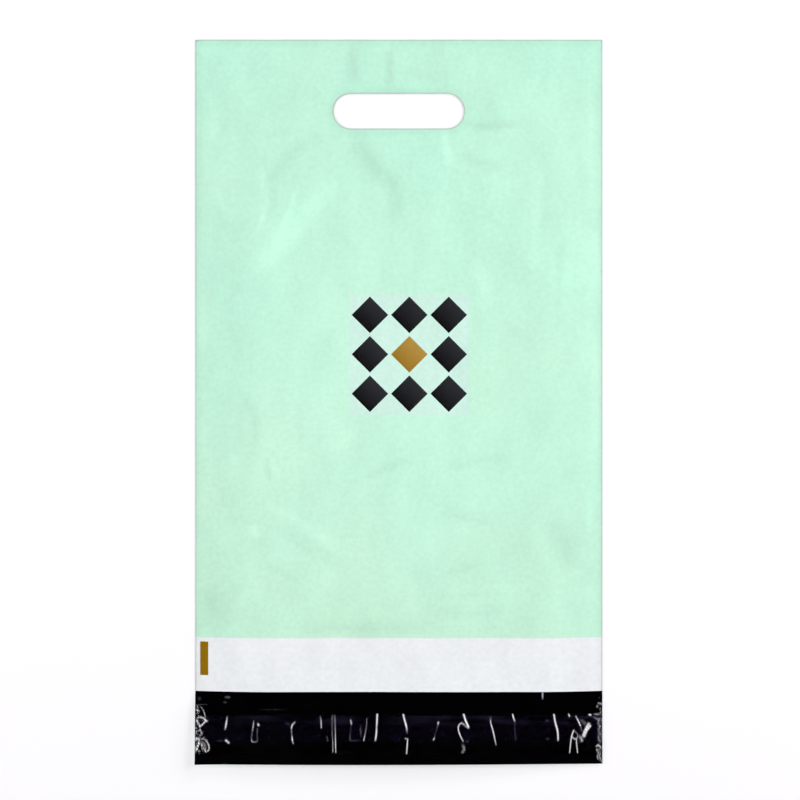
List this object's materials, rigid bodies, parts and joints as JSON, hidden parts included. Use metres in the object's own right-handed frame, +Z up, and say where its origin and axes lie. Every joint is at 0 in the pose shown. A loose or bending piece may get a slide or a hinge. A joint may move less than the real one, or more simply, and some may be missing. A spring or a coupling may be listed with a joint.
{
  "type": "poly mailer bag",
  "caption": "Flat film mailer bag with a cut hand slot, welded sides, an open mouth and an open closing flap that carries an adhesive strip under a clear release liner.",
  "frame": {"origin": "centre of the bag's outline on the surface that it lies on", "axes": "+X across the bag, +Y along it towards the folded closed end with the hand slot, +Z up out of the printed front"},
  "size_m": [0.28, 0.498, 0.007],
  "materials": {
    "film": "satin",
    "adhesive": "gloss",
    "liner": "gloss"
  },
  "bodies": {
    "root": {"bag_film": "film", "adhesive_strip": "adhesive", "release_liner": "liner"}
  },
  "joints": []
}
